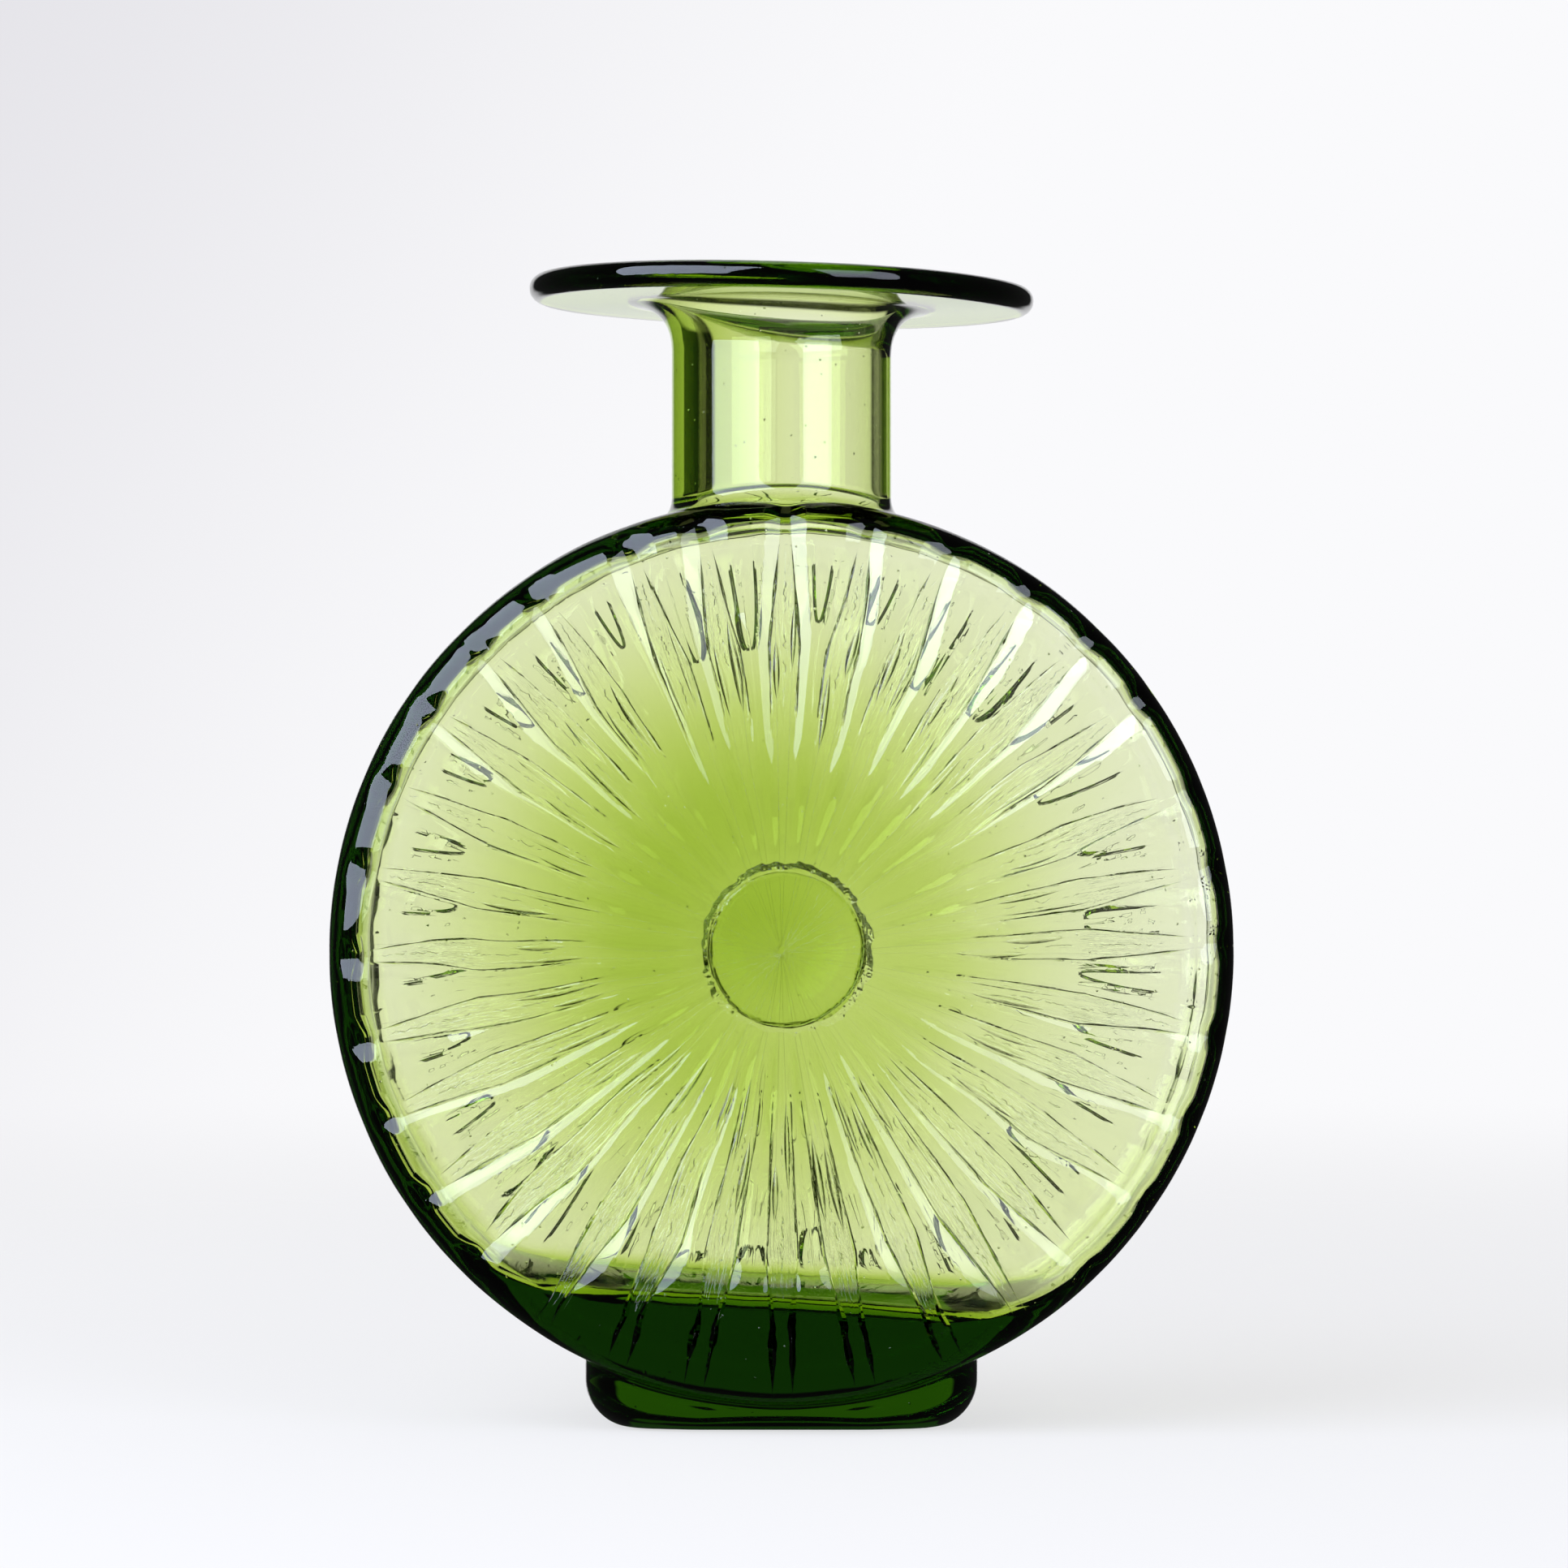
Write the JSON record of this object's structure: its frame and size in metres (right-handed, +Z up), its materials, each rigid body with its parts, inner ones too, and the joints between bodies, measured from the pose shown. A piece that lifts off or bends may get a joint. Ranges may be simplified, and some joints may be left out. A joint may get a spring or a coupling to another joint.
{
  "type": "glass flask",
  "caption": "Upright disc-shaped flask of green mould-blown glass with fluted faces, a short round neck, a wide flat lip and a block foot.",
  "frame": {"origin": "on the floor under the middle of the foot", "axes": "+Z up along the neck, +X to the right seen from the front, the front face looks along -Y"},
  "size_m": [0.172, 0.0978, 0.2218],
  "materials": {
    "green_glass": "clear green soda-lime glass, fire-polished, with fine mould ripples and seeds"
  },
  "bodies": {
    "root": {"lip": "green_glass", "neck": "green_glass", "rim_band": "green_glass", "front_face": "green_glass", "rear_face": "green_glass", "front_boss": "green_glass", "rear_boss": "green_glass", "heel": "green_glass", "foot": "green_glass"}
  },
  "joints": []
}
